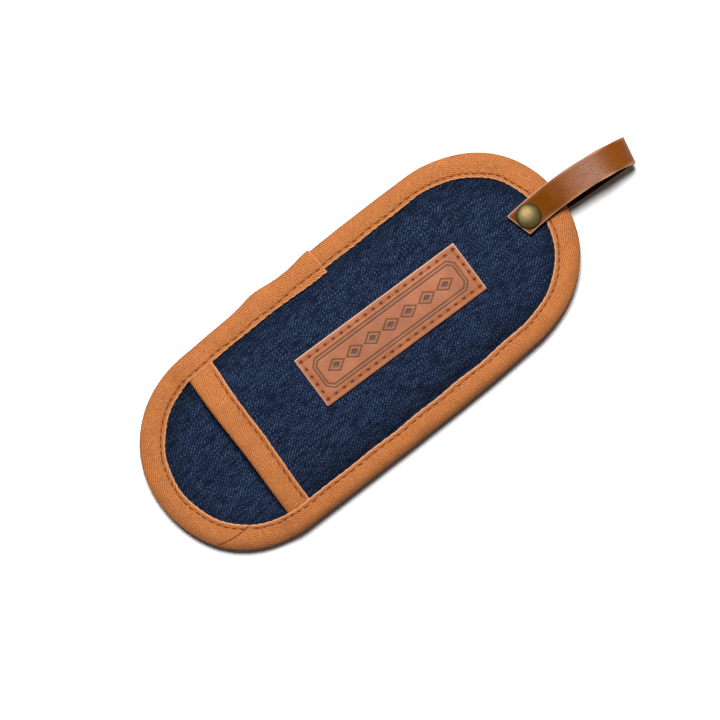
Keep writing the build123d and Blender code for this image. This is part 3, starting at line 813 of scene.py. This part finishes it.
def tape_material():
    made, tree, shader = start_material("orange_cotton_bias_tape")
    where = add(tree, "ShaderNodeAttribute", {"attribute_name": "weave"}).outputs["Vector"]
    solid = add(tree, "ShaderNodeTexCoord").outputs["Object"]
    axes = add(tree, "ShaderNodeSeparateXYZ", None, {"Vector": where})
    sway = add(tree, "ShaderNodeTexNoise", None, {"Vector": solid, "Scale": 1 / (5 * mm), "Detail": 2.0})
    sway = maths(tree, "MULTIPLY", maths(tree, "SUBTRACT", sway.outputs["Fac"], 0.5), 0.9 * mm)
    up_slant = maths(tree, "MULTIPLY", axes.outputs["X"], sin(-WALE_SLANT))
    up_slant = maths(tree, "ADD", up_slant, sway)
    wale = maths(tree, "MULTIPLY_ADD", axes.outputs["Y"], cos(WALE_SLANT), up_slant)
    wale = maths(tree, "SINE", maths(tree, "MULTIPLY", wale, 2 * pi / WALE))
    down_slant = maths(tree, "MULTIPLY", axes.outputs["X"], cos(WALE_SLANT))
    picks = maths(tree, "MULTIPLY_ADD", axes.outputs["Y"], sin(WALE_SLANT), down_slant)
    picks = maths(tree, "SINE", maths(tree, "MULTIPLY", picks, 2 * pi / (0.55 * mm)))
    threads = maths(tree, "MULTIPLY_ADD", picks, 0.35, wale)
    fuzz = add(tree, "ShaderNodeTexNoise", None, {"Vector": solid, "Scale": 1 / (0.5 * mm), "Detail": 5.0})
    cloud = add(tree, "ShaderNodeTexNoise", None, {"Vector": solid, "Scale": 1 / (8 * mm), "Detail": 4.0})
    shade = maths(tree, "MULTIPLY_ADD", threads, 0.34, 0.5)
    for noise, strength in ((fuzz, 1.6), (cloud, 0.5)):
        change = maths(tree, "MULTIPLY", maths(tree, "SUBTRACT", noise.outputs["Fac"], 0.5), strength)
        shade = maths(tree, "ADD", shade, change)
    cloth = colour_between(tree, shade, linear(TAPE_SHADE), linear(TAPE_ORANGE)).outputs["Result"]
    specks = add(tree, "ShaderNodeTexNoise", None, {"Vector": solid, "Scale": 1 / (0.45 * mm), "Detail": 2.0})
    specks = maths(tree, "MULTIPLY", maths(tree, "POWER", specks.outputs["Fac"], 5.0), 2.0)
    # Paler along each hem's fold: partly rubbed wear, partly a painted highlight where the fold catches the
    # light. Pale specks of fuzz are added to it.
    paleness = add(tree, "ShaderNodeAttribute", {"attribute_name": "paleness"}).outputs["Fac"]
    paleness = maths(tree, "MULTIPLY", paleness, maths(tree, "MULTIPLY_ADD", fuzz.outputs["Fac"], 0.6, 0.45))
    paleness = maths(tree, "MAXIMUM", paleness, specks)
    cloth = colour_between(tree, paleness, cloth, linear(TAPE_WEAR_AND_HIGHLIGHT)).outputs["Result"]
    # Painted shade: needle holes, the stitch row's groove and the slanted seam's crease are painted dark.
    needled = add(tree, "ShaderNodeAttribute", {"attribute_name": "needled"}).outputs["Fac"]
    cloth = colour_between(tree, needled, cloth, linear(TAPE_RECESS_SHADE)).outputs["Result"]
    tree.links.new(cloth, shader.inputs["Base Color"])
    relief = add(tree, "ShaderNodeBump", None, {
        "Strength": 0.5, "Distance": 0.1 * mm,
        "Height": maths(tree, "MULTIPLY_ADD", fuzz.outputs["Fac"], 1.2, threads),
    })
    tree.links.new(relief.outputs["Normal"], shader.inputs["Normal"])
    shader.inputs["Roughness"].default_value = 0.85
    shader.inputs["Specular IOR Level"].default_value = 0.15
    return made


orange_tape = tape_material()
orange_thread = thread_material("orange_corespun_thread", "#7C3C10", "#481D05")

# The folded tape's section, from the hem on the denim, round the fold and back to the hem on the
# lining: (distance in from the fold, height off what it covers, 1 above to 0 below), in mm.
MOUTH_SECTION = [
    (11.7, 0.08, 1), (11.78, 0.35, 1), (11.66, 0.64, 1), (11.2, 0.74, 1), (10.2, 0.74, 1), (9.2, 0.8, 1),
    (7.5, 0.98, 1), (5.5, 1.08, 1), (3.6, 1.02, 1), (2.0, 0.8, 1), (0.9, 0.35, 1), (0.3, 0, 0.93),
    (0.0, 0, 0.7), (-0.05, 0, 0.5), (0.0, 0, 0.3), (0.4, -0.3, 0.05), (1.6, -0.6, 0), (4.0, -0.75, 0),
    (8.0, -0.7, 0), (10.4, -0.6, 0), (11.3, -0.6, 0), (11.5, -0.4, 0), (11.5, -0.02, 0),
]
MOUTH_CLOTH = [(11.5, -0.01, 0), (1.0, -0.01, 0), (0.9, 0.0, 0.5), (1.0, 0.01, 1), (11.7, 0.01, 1)]


def mouth_wide(y):
    """The mouth tape narrows a little from one end to the other."""
    return 1 + 0.07 * y / seam_radius + wander(y, 22 * mm, 0.006, 3)


def mouth_place(station, depth):
    """The point that far across the mitt along the mouth, and that far in from the tape's fold."""
    x = mouth_line(station) + depth + wander(station, 30 * mm, 0.2 * mm, 4)
    return x, station - depth * sin(MOUTH_LEAN)


def mouth_tape_points():
    outside, across = spread_evenly(rounded_off(np.array(MOUTH_SECTION) * [mm, mm, 1]), 56)
    inside, _ = spread_evenly(np.array(MOUTH_CLOTH) * [mm, mm, 1], 56)
    section = np.concatenate([outside, inside])
    half = seam_radius + TUCKED
    station = np.arange(-half, half, 0.4 * mm)[:, None]
    depth = section[None, :, 0] * mouth_wide(station)
    hem = MOUTH_COVER * mouth_wide(station)
    x, y = mouth_place(station, depth)
    hole, row = stitch_dimples(station, depth - hem + TAPE_STITCH_IN, TAPE_PITCH)
    outer = (np.arange(len(section)) < len(outside))[None, :]
    puff = section[None, :, 1] * (1 + wander(station, 12 * mm, 0.05, 5))
    puff = puff - outer * np.sign(section[None, :, 1]) * (0.28 * hole + 0.22 * row) * mm
    above, below = front_surface(x, y), pocket_ceiling(x, y)
    z = below + section[None, :, 2] * (above - below) + puff
    across = np.concatenate([across, across[::-1]])
    # Painted shade in the needle holes and along the stitch row's groove.
    needled = np.maximum(hole * 0.7, row * 0.2) * outer
    # The pale line on the hem's fold: partly rubbed wear, partly a painted highlight.
    edge = bump(hem - depth, 0.1 * mm, 0.35 * mm) * outer
    return x, y, z, station + 0 * x, across[None, :] + 0 * x, needled, edge


x, y, z, along, across, needled, edge = mouth_tape_points()
mouth_tape = add_piece("mouth_tape", np.stack([x, y, z], -1).reshape(-1, 3), strip_faces(*x.shape))
mouth_tape.data.materials.append(orange_tape)
weave_note(mouth_tape, along.ravel(), across.ravel())
note(mouth_tape, "needled", needled)
note(mouth_tape, "paleness", edge)
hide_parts("mouth_binding")


def mouth_row(surface, lift, way):
    rows = []
    for number in range(round(-seam_radius / TAPE_PITCH), round(seam_radius / TAPE_PITCH)):
        step = (number + 0.5 + np.linspace(-0.3, 0.3, 7)) * TAPE_PITCH
        depth = MOUTH_COVER * mouth_wide(step) - TAPE_STITCH_IN + np.linspace(-0.15, 0.15, 7) * mm
        x, y = mouth_place(step, depth)
        rows.append((np.stack([x, y, surface(x, y) + lift], -1), way))
    return rows


mouth_needle = sewn("mouth_needle_stitches", mouth_row(front_surface, 0.6 * mm, upward), TAPE_THREAD)
mouth_bobbin = sewn("mouth_bobbin_stitches", mouth_row(pocket_ceiling, -0.5 * mm, down), BOBBIN_THREAD)
for row, node in ((mouth_needle, "mouth_needle_thread"), (mouth_bobbin, "mouth_bobbin_thread")):
    row.data.materials.append(orange_thread)
    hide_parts(node)

# ---------------------------------------------------------------- the edge tape
# Two lengths of the tape bind the whole outline, folded over the cut edges of both walls. They
# are joined by a slanting seam on the round end by the mouth. The first one's folded end laps
# over the start of the second, halfway along one long side.

EDGE_COVER = 10.5 * mm
LAP_FROM, LAP_TO = -6 * mm, 10.2 * mm
BULGE_AT, BULGE_OUT = -19.5 * mm, 1.45 * mm  # a fuller stretch of the tape, beside the lap
TAPE_MIDDLE = 39 * mm  # from the mitt's middle line to about the middle of the tape
BIAS_SEAM_INNER, BIAS_SEAM_OUTER = radians(232.4), radians(214.5)


def way_round(s):
    """Middle-line point and outward direction at a distance s, clockwise seen from above."""
    s = s % whole_way
    second = s >= straight + half_turn
    s = np.where(second, s - straight - half_turn, s)
    turn = np.clip((s - straight) / fold_radius, 0, pi)
    side = np.where(second, -1.0, 1.0)
    x = side * (np.minimum(s, straight) - end_centre)
    return x, side * np.sin(turn), side * np.cos(turn)


def way_at_angle(angle):
    """Distance round to a place on the left end, from its angle about that end's centre."""
    return whole_way - (angle - pi / 2) * fold_radius


seam_inner, seam_outer = way_at_angle(BIAS_SEAM_INNER), way_at_angle(BIAS_SEAM_OUTER)

# The section, from the front hem round the cut edges to the back hem: (distance in from the
# outline, height off the cloth, 1 for the front to 0 for the back), in mm.
EDGE_SECTION = [
    (10.5, 0.08, 1), (10.58, 0.35, 1), (10.46, 0.62, 1), (10.0, 0.72, 1), (9.0, 0.74, 1), (8.0, 0.82, 1),
    (6.8, 0.98, 1), (5.4, 1.08, 1), (4.2, 1.02, 1), (3.1, 0.76, 1), (2.1, 0.3, 1), (1.2, 0, 0.93),
    (0.5, 0, 0.8), (0.1, 0, 0.65), (0.0, 0, 0.48), (0.1, 0, 0.3), (0.6, 0, 0.12), (1.6, -0.2, 0),
    (3.0, -0.75, 0), (5.5, -0.9, 0), (8.0, -0.75, 0), (9.4, -0.65, 0), (10.2, -0.65, 0), (10.4, -0.4, 0),
    (10.4, -0.02, 0),
]
EDGE_CLOTH = [(10.4, -0.01, 0), (2.3, -0.01, 0), (2.2, 0.0, 0.5), (2.3, 0.01, 1), (10.5, 0.01, 1)]


def edge_bed(s):
    """Height of the cloth under the front hem: lower past the mouth, where only one wall is."""
    mid_x, out_x, out_y = way_round(s)
    past_mouth = mid_x + out_x * TAPE_MIDDLE - mouth_line(out_y * TAPE_MIDDLE)
    share = smooth_step(-6.5 * mm, 0.5 * mm, past_mouth)
    return floor_seam + share * (front_seam - floor_seam)


def edge_row_depth(s):
    """How far in from the outline the row of stitches runs."""
    return hem_cover(s) - TAPE_STITCH_IN + wander(s, 16 * mm, 0.14 * mm, 15)


def edge_tape_points(starts, ends, first):
    """A grid of points, the tape's length by its section, from one slanting end to the other."""
    outside, across = spread_evenly(rounded_off(np.array(EDGE_SECTION) * [mm, mm, 1]), 64)
    inside, _ = spread_evenly(np.array(EDGE_CLOTH) * [mm, mm, 1], 64)
    section = np.concatenate([outside, inside])
    across = np.concatenate([across, across[::-1]])
    outer = (np.arange(len(section)) < len(outside))[None, :]
    begin, finish = starts(across)[None, :], ends(across)[None, :]
    count = round(float((finish - begin).mean()) / (0.45 * mm))
    s = begin + np.linspace(0, 1, count)[:, None] * (finish - begin)
    depth, puff, front = section[None, :, 0], section[None, :, 1], section[None, :, 2]
    mid_x, out_x, out_y = way_round(s)
    on_top = (out_y > 0.99) & (abs(mid_x) < end_centre)
    if first:
        lap = on_top * smooth_step(LAP_FROM - 6 * mm, LAP_FROM + 1 * mm, mid_x)
        grow = on_top * BULGE_OUT * bump(mid_x, BULGE_AT, 8 * mm)
        grow = grow + on_top * 0.9 * mm * smooth_step(-3 * mm, 8 * mm, mid_x)
        hem = hem_cover(s) + grow + on_top * 1.35 * mm * smooth_step(-22 * mm, 6 * mm, mid_x)
    else:
        lap = 0 * s
        grow = 0 * s
        hem = hem_cover(s) - on_top * 0.4 * mm * (mid_x < LAP_TO)
    scallop = 0.07 * mm * np.cos(2 * pi * s / TAPE_PITCH) * (depth > 9 * mm)
    depth = depth * hem / EDGE_COVER + scallop
    hole, row = stitch_dimples(s, depth - grow - edge_row_depth(s), TAPE_PITCH)
    dent = (0.4 * hole + 0.12 * row) * outer
    crease = bump(s - slanted(across[None, :]), 0, 0.5 * mm) * outer
    height = puff * (1 + wander(s, 9 * mm, 0.06, 13)) - np.sign(puff) * (dent + 0.35 * crease) * mm
    # The edge tape rides up where it crosses the two ends of the mouth's tape.
    over_mouth = bump(mid_x, mouth_x + 6 * mm, 5.5 * mm) * (abs(out_y) > 0.9)
    over_mouth = over_mouth * smooth_step(5 * mm, 8 * mm, depth)
    height = height + 0.45 * mm * over_mouth * (front == 1)
    back = back_seam - edge_sag(mid_x + out_x * TAPE_MIDDLE)
    z = back + front * (edge_bed(s) - back) + height
    z = z + lap * 0.6 * mm * (2 * front - 1)
    reach = fold_radius + grow + fullness(s) - depth * (1 + fullness(s) / fold_radius)
    reach = reach + 0.3 * mm * abs(out_y)
    # The lap's folded end gets the same pale line: partly rubbed wear, partly a painted highlight.
    end_wear_and_highlight = bump(s, finish, 0.35 * mm) if first else 0 * s
    return {
        "x": mid_x + out_x * reach,
        "y": out_y * reach,
        "z": z,
        "s": s,
        "across": across[None, :] + 0 * s,
        "depth": depth - grow,
        # painted shade in the needle holes and the slanted seam's crease
        "dark": np.maximum(hole * 0.75 * outer, crease * 0.6),
        "paleness": np.maximum(bump(depth, hem - 0.1 * mm, 0.35 * mm), end_wear_and_highlight * 0.8) * outer,
        "side": front[0] * outer[0] + 2 * (1 - outer[0]),
    }


def slanted(across):
    """Where the slanting seam lies, at each distance across the unfolded tape."""
    return seam_inner + (seam_outer - seam_inner) * across / EDGE_COVER


def lap_end(across):
    return LAP_TO + end_centre + whole_way - 0.05 * across


def lap_start(across):
    return LAP_FROM + end_centre + 0 * across


edge_tapes = []
for name, node, starts, ends, first in (
    ("edge_tape_with_lap", "edge_tape_first", slanted, lap_end, True),
    ("edge_tape_under_lap", "edge_tape_second", lap_start, slanted, False),
):
    grid = edge_tape_points(starts, ends, first)
    points = np.stack([grid["x"], grid["y"], grid["z"]], -1).reshape(-1, 3)
    tape = add_piece(name, points, strip_faces(*grid["x"].shape))
    tape.data.materials.append(orange_tape)
    weave_note(tape, grid["s"].ravel(), grid["across"].ravel())
    note(tape, "needled", grid["dark"])
    note(tape, "paleness", grid["paleness"])
    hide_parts(node)
    edge_tapes.append(grid)


def edge_row(side, lift, way):
    """Stitches along both tapes, in the groove of the front (1) or the back (0) hem."""
    rows = []
    for grid in edge_tapes:
        columns = np.flatnonzero(grid["side"] == side)
        if grid["depth"][0, columns[0]] >= grid["depth"][0, columns[-1]]:
            columns = columns[::-1]
        line = []
        for i in range(len(grid["s"])):
            depth = grid["depth"][i, columns]
            at = edge_row_depth(grid["s"][i, columns[0]])
            line.append([np.interp(at, depth, grid[axis][i, columns]) for axis in ("x", "y", "z", "s")])
        line = np.array(line)
        for k in np.arange(np.ceil(line[0, 3] / TAPE_PITCH), line[-1, 3] / TAPE_PITCH - 1) + 0.5:
            at = (k + np.linspace(-0.3, 0.3, 7)) * TAPE_PITCH
            path = np.stack([np.interp(at, line[:, 3], line[:, axis]) for axis in range(3)], -1)
            path[:, 2] = path[[0, -1], 2].mean() + lift
            rows.append((path, way))
    return rows


edge_needle = sewn("edge_needle_stitches", edge_row(1, 0.1 * mm, upward), TAPE_THREAD)
edge_bobbin = sewn("edge_bobbin_stitches", edge_row(0, -0.1 * mm, down), BOBBIN_THREAD)
for row, node in ((edge_needle, "edge_needle_thread"), (edge_bobbin, "edge_bobbin_thread")):
    row.data.materials.append(orange_thread)
    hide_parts(node)

# ---------------------------------------------------------------- the rivet
# A double-cap rivet of antiqued brass goes through the strap's two ends and both walls: a domed
# cap with a tube at the front, and a flat cap with a post at the back, pressed together.

cap_low, cap_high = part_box("rivet_cap")
base_low, base_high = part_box("rivet_base")
cap_radius = (cap_high.x - cap_low.x) / 2
base_radius = (base_high.x - base_low.x) / 2
CAP_HEIGHT, CAP_RIM, CAP_ARC = 2.0 * mm, 0.62 * mm, radians(64)
TUBE_RADIUS, POST_RADIUS, BASE_THICK = 2.0 * mm, 1.38 * mm, 0.8 * mm


def turned(name, outline, steps=72):
    """A piece turned about the rivet's axis, from a list of (radius, height)."""
    points = []
    for radius, height in outline:
        for k in range(steps):
            angle = 2 * pi * k / steps
            points.append((rivet[0] + radius * cos(angle), rivet[1] + radius * sin(angle), height))
    return add_piece(name, points, tube_faces(len(outline), steps))


# Antiqued brass: stamped and tumbled, so softly bright on the crown, with brown tarnish left in
# patches, a painted dark reflection round the rim, and fine marks from the tumbling.
TARNISH_AND_RIM_REFLECTION, BRASS_BRIGHT = "#3A2F16", "#6B5C36"


def brass_material():
    made, tree, shader = start_material("antiqued_brass")
    where = add(tree, "ShaderNodeTexCoord").outputs["Object"]
    tarnish = add(tree, "ShaderNodeTexNoise", None, {"Vector": where, "Scale": 1 / (1.6 * mm), "Detail": 6.0})
    specks = add(tree, "ShaderNodeTexNoise", None, {"Vector": where, "Scale": 1 / (0.3 * mm), "Detail": 4.0})
    stained = maths(tree, "MULTIPLY", tarnish.outputs["Fac"], 0.8)
    shade = maths(tree, "MULTIPLY_ADD", specks.outputs["Fac"], 0.4, stained)
    # Painted reflection: the rim is painted darker, as the dark room mirrored at a grazing angle.
    rim = add(tree, "ShaderNodeAttribute", {"attribute_name": "rim"}).outputs["Fac"]
    shade = maths(tree, "SUBTRACT", shade, maths(tree, "MULTIPLY", rim, 0.5))
    metal = colour_between(tree, shade, linear(TARNISH_AND_RIM_REFLECTION), linear(BRASS_BRIGHT)).outputs["Result"]
    tree.links.new(metal, shader.inputs["Base Color"])
    tree.links.new(maths(tree, "MULTIPLY_ADD", tarnish.outputs["Fac"], 0.25, 0.4), shader.inputs["Roughness"])
    marks = {"Strength": 0.15, "Distance": 0.05 * mm, "Height": specks.outputs["Fac"]}
    relief = add(tree, "ShaderNodeBump", None, marks)
    tree.links.new(relief.outputs["Normal"], shader.inputs["Normal"])
    shader.inputs["Metallic"].default_value = 0.75
    return made


brass = brass_material()
cap_base = cap_high.z - CAP_HEIGHT
cap_outline = [(TUBE_RADIUS, cap_low.z + 0.5 * mm), (TUBE_RADIUS, cap_base)]
cap_outline += [(cap_radius - 0.35 * mm, cap_base), (cap_radius - 0.05 * mm, cap_base + 0.12 * mm)]
cap_outline += [(cap_radius, cap_base + 0.35 * mm), (cap_radius - 0.12 * mm, cap_base + CAP_RIM)]
# The dome, from the rolled rim up to the small flat on its crown.
for k in range(1, 12):
    angle = CAP_ARC * (1 - k / 11.6)
    rise = (cos(angle) - cos(CAP_ARC)) / (1 - cos(CAP_ARC))
    cap_outline.append((
        (cap_radius - 0.15 * mm) * sin(angle) / sin(CAP_ARC),
        cap_base + CAP_RIM + (CAP_HEIGHT - CAP_RIM) * rise,
    ))
rivet_cap = turned("rivet_front_cap", cap_outline)
reach = np.array([np.hypot(v.co.x - rivet[0], v.co.y - rivet[1]) for v in rivet_cap.data.vertices])
note(rivet_cap, "rim", smooth_step(0.78 * cap_radius, 0.98 * cap_radius, reach))
rivet_cap.data.materials.append(brass)
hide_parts("rivet_cap")

base_outline = [(POST_RADIUS, base_high.z - 0.3 * mm), (POST_RADIUS, base_low.z + BASE_THICK)]
base_outline += [(base_radius - 0.1 * mm, base_low.z + BASE_THICK), (base_radius, base_low.z + 0.6 * mm)]
base_outline += [(base_radius - 0.05 * mm, base_low.z + 0.25 * mm)]
base_outline += [(base_radius - 0.4 * mm, base_low.z + 0.02 * mm)]
base_outline += [(2.4 * mm, base_low.z), (1.8 * mm, base_low.z + 0.2 * mm)]
rivet_base = turned("rivet_back_cap", base_outline)
rivet_base.data.flip_normals()
rivet_base.data.materials.append(brass)
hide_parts("rivet_base")

# ---------------------------------------------------------------- the hanging strap
# One strip of oiled cowhide, folded in half over the end of the mitt. Its smooth grain side is
# outside, its flesh side inside, and its cut edges are raw and pale. The front half stands up in
# a low arch, and the whole strap turns on the rivet.

STRAP_WIDTH, STRAP_LEATHER = 11.9 * mm, 1.6 * mm
STRAP_START, STRAP_BEND = radians(2.5), 175 * mm
# Middle of the leather seen from the side: (distance from the rivet, height), in mm.
STRAP_SIDE = [
    (-5.5, 11.1), (4.5, 11.1), (8, 11.8), (12, 13.1), (18, 14.5), (24, 15.3), (31, 15.7),
    (37, 15.1), (43.6, 12.7), (48.4, 9.6), (49.3, 6.2), (48.4, 2.2), (44, 1.35),
    (36, 1.4), (26, 1.55), (13, 1.6), (6, 1.6), (-5.5, 1.6),
]


def strap_points():
    side, along = spread_evenly(rounded_off(np.array(STRAP_SIDE) * mm, 4), 220)
    a, z = side[:, 0], side[:, 1]
    slope = STRAP_START - np.arcsin(np.clip(a / STRAP_BEND, -1, 1))
    centre_x = rivet[0] + STRAP_BEND * sin(STRAP_START) + STRAP_BEND * np.sin(-slope)
    centre_y = rivet[1] - STRAP_BEND * cos(STRAP_START) + STRAP_BEND * np.cos(slope)
    # The back half doesn't lie straight under the front half, but a little to one side.
    back_half = along > along[-1] / 2
    twist = np.where(back_half, -2.3 * mm * np.sin(pi * np.clip(a / (50 * mm), 0, 1)), 0)
    forward = np.gradient(side, axis=0)
    forward /= np.linalg.norm(forward, axis=1, keepdims=True)
    # The section is a rounded rectangle, wider than it is thick.
    half_w, half_t, round_off = STRAP_WIDTH / 2, STRAP_LEATHER / 2, 0.4 * mm
    section = []
    for corner_b, corner_n, start in ((1, 1, 0), (-1, 1, 90), (-1, -1, 180), (1, -1, 270)):
        for step in range(5):
            angle = radians(start + step * 22.5)
            section.append((
                corner_b * (half_w - round_off) + round_off * cos(angle),
                corner_n * (half_t - round_off) + round_off * sin(angle),
            ))
    # More points across the two wide faces, so that they can bend and carry grain.
    section = np.array(section)
    ring = []
    for k in range(len(section)):
        ring.append(section[k])
        ahead = section[(k + 1) % len(section)]
        if abs(ahead[0] - section[k][0]) > 1 * mm:
            ring += [section[k] + (ahead - section[k]) * t for t in np.arange(1, 10) / 10]
    ring = np.array(ring)
    b, n = ring[None, :, 0], ring[None, :, 1]
    b = b + wander(along, 9 * mm, 0.06 * mm, 21)[:, None] * np.sign(b)
    # The two ends are cut on a slant.
    end_shift = -0.16 * b * (1 - smooth_step(-4 * mm, 3 * mm, a))[:, None]
    way = np.stack([np.cos(slope), np.sin(slope)], -1)
    out_x = -np.sin(slope)[:, None] * (b + twist[:, None])
    out_y = np.cos(slope)[:, None] * (b + twist[:, None])
    lift_a = -forward[:, 1][:, None] * n
    lift_z = forward[:, 0][:, None] * n
    x = centre_x[:, None] + out_x + way[:, :1] * (lift_a + end_shift)
    y = centre_y[:, None] + out_y + way[:, 1:] * (lift_a + end_shift)
    # The leather cups a little across its width, and the front half leans over to one side.
    cupping = 0.15 * mm * (b / half_w) ** 2
    lean = -0.05 * b * (np.sin(pi * np.clip(a / (48 * mm), 0, 1)) * ~back_half)[:, None]
    z = z[:, None] + lift_z + cupping * forward[:, 0][:, None] + lean
    raw = smooth_step(half_w - 0.5 * mm, half_w - 0.05 * mm, abs(b))
    flesh = (n < -0.3 * half_t) * 1.0 + 0 * x
    # Painted light: the front half is painted paler away from the rivet and most where it bends over,
    # and the same mask makes the grain shinier there, which places its highlight.
    polish_and_painted_light = 0.65 * bump(a, 35.5 * mm, 12 * mm) + 0.35 * smooth_step(8 * mm, 30 * mm, a)
    polish_and_painted_light = (polish_and_painted_light * ~back_half)[:, None] + 0 * x
    return x, y, z, raw, flesh, polish_and_painted_light


x, y, z, raw, flesh, polish_and_painted_light = strap_points()
points = np.stack([x, y, z], -1).reshape(-1, 3)
strap = add_piece("hanging_loop_strap", points, tube_faces(*x.shape), "loop")
raw[[0, -1]] = 1.0
note(strap, "raw_edge", raw)
# Painted shade: the flesh side, inside the fold, is painted the dark brown of pressed lines, as the shade
# under the front half.
note(strap, "pressed", flesh)
note(strap, "polish_and_painted_light", polish_and_painted_light)
strap.data.materials.append(
    leather_material("oiled_strap_leather", "#421E00", "#643203", "#B98E74", "#2E1D13", 0.5 * mm, 0.28, 0.02)
)
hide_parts("hanging_strap")

# ---------------------------------------------------------------- the studio
# A white table, a large soft light from above the far side, and even light from all round.

FRAME_WIDTH, LENS, SENSOR = 295.2 * mm, 120.0, 36.0
VIEW_TURN = radians(-39.2)
VIEW_CENTRE = (-2.33 * mm, -2.86 * mm)
KEY_TILT, KEY_BEARING = radians(23), radians(62)
KEY_WIDE, KEY_FAR, KEY_WATTS = 0.42, 1.1, 28.3  # a disk, in metres across and metres away

table = bpy.data.meshes.new("table")
table.from_pydata([(-3, -3, 0), (3, -3, 0), (3, 3, 0), (-3, 3, 0)], [], [(0, 1, 2, 3)])
table_top = bpy.data.objects.new("table", table)
table_top.location.z = -0.05 * mm  # so that it doesn't share a plane with the back denim
bpy.context.scene.collection.objects.link(table_top)
white, tree, shader = start_material("white_table")
shader.inputs["Base Color"].default_value = linear("#D9D9D8")
shader.inputs["Roughness"].default_value = 0.9
shader.inputs["Specular IOR Level"].default_value = 0.1
table.materials.append(white)

world = bpy.data.worlds.new("studio")
world.use_nodes = True
world.node_tree.nodes["Background"].inputs["Color"].default_value = linear("#FFFFFF")
world.node_tree.nodes["Background"].inputs["Strength"].default_value = 0.08
bpy.context.scene.world = world
bpy.context.scene.view_settings.view_transform = "Standard"

key = bpy.data.lights.new("softbox", "AREA")
key.shape = "DISK"
key.size = KEY_WIDE
key.energy = KEY_WATTS
key_place = bpy.data.objects.new("softbox", key)
toward = Vector((sin(KEY_TILT) * cos(KEY_BEARING), sin(KEY_TILT) * sin(KEY_BEARING), cos(KEY_TILT)))
key_place.location = toward * KEY_FAR
key_place.rotation_euler = toward.to_track_quat("Z", "Y").to_euler()
bpy.context.scene.collection.objects.link(key_place)

lens = bpy.data.cameras.new("camera")
lens.lens = LENS
lens.sensor_width = SENSOR
lens.clip_start = 0.05
camera = bpy.data.objects.new("camera", lens)
camera.location = (*VIEW_CENTRE, front_middle + FRAME_WIDTH * LENS / SENSOR)
camera.rotation_euler = (0, 0, VIEW_TURN)
bpy.context.scene.collection.objects.link(camera)
bpy.context.scene.camera = camera
